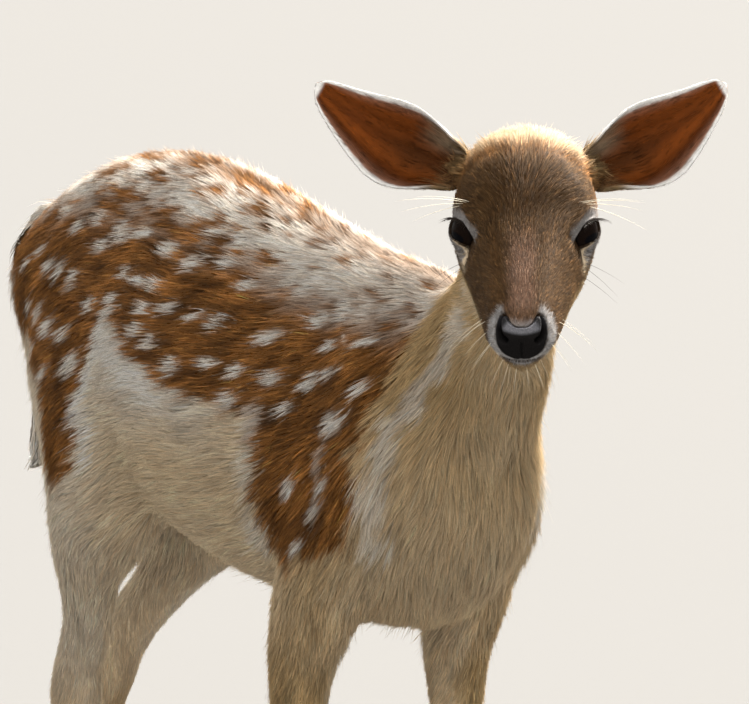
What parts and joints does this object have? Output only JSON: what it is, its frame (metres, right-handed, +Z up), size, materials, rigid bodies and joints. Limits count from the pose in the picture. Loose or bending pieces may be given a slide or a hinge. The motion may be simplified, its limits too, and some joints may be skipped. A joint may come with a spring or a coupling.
{
  "type": "standing deer fawn figure",
  "caption": "Life-size model of a young spotted fallow deer, standing with its head turned to its right and its ears spread.",
  "frame": {"origin": "middle of the model's footprint box, on the floor under the hooves", "axes": "+Z up; the animal faces -Y with its left side towards +X"},
  "size_m": [0.2174, 0.7726, 0.6923],
  "materials": {
    "coat": "short chestnut fur",
    "pale_coat": "short buff fur",
    "eye": "wet gloss",
    "nose": "moist, finely pebbled",
    "hoof": "worn horn"
  },
  "bodies": {
    "root": {"head": "coat", "nose": "nose", "eye_left": "eye", "eye_right": "eye", "ear_left": "coat", "ear_right": "coat", "neck": "pale_coat", "trunk": "coat", "tail": "coat", "foreleg_left": "pale_coat", "foreleg_right": "pale_coat", "hindleg_left": "pale_coat", "hindleg_right": "pale_coat", "claw_fore_left_inner": "hoof", "dewclaw_fore_left_inner": "hoof", "claw_fore_left_outer": "hoof", "dewclaw_fore_left_outer": "hoof", "claw_fore_right_inner": "hoof", "dewclaw_fore_right_inner": "hoof", "claw_fore_right_outer": "hoof", "dewclaw_fore_right_outer": "hoof", "claw_hind_left_inner": "hoof", "dewclaw_hind_left_inner": "hoof", "claw_hind_left_outer": "hoof", "dewclaw_hind_left_outer": "hoof", "claw_hind_right_inner": "hoof", "dewclaw_hind_right_inner": "hoof", "claw_hind_right_outer": "hoof", "dewclaw_hind_right_outer": "hoof"}
  },
  "joints": []
}
